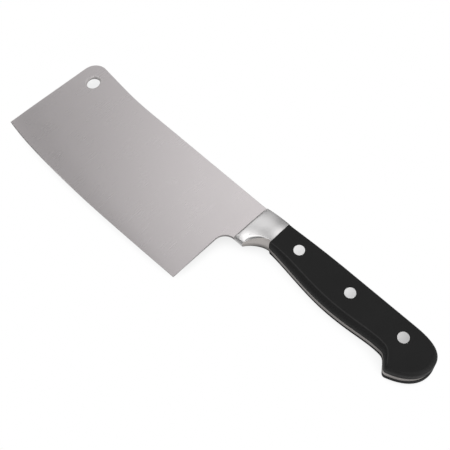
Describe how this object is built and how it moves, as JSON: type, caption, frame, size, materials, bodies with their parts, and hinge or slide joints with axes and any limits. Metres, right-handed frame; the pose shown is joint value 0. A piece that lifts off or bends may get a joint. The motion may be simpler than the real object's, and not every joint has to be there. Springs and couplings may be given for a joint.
{
  "type": "kitchen cleaver",
  "caption": "Full-tang kitchen cleaver with a broad flat blade, a hanging hole, a swelling bolster and a riveted black handle.",
  "frame": {"origin": "middle of the knife's bounding box, on the plane that the knife lies on", "axes": "+X from the blade's tip to the butt of the handle, +Y from the cutting edge to the spine, +Z through the thickness, up from the face that the knife lies on"},
  "size_m": [0.2884, 0.072, 0.0154],
  "materials": {
    "satin_steel": "satin blade, polished bolster",
    "black_plastic": "smooth, slightly matt",
    "rivet_steel": "ground flush"
  },
  "bodies": {
    "root": {"blade_forging": "satin_steel", "front_scale": "black_plastic", "back_scale": "black_plastic", "rivet_sleeve_1": "rivet_steel", "rivet_sleeve_2": "rivet_steel", "rivet_sleeve_3": "rivet_steel", "rivet_pin_1": "rivet_steel", "rivet_pin_2": "rivet_steel", "rivet_pin_3": "rivet_steel"}
  },
  "joints": []
}
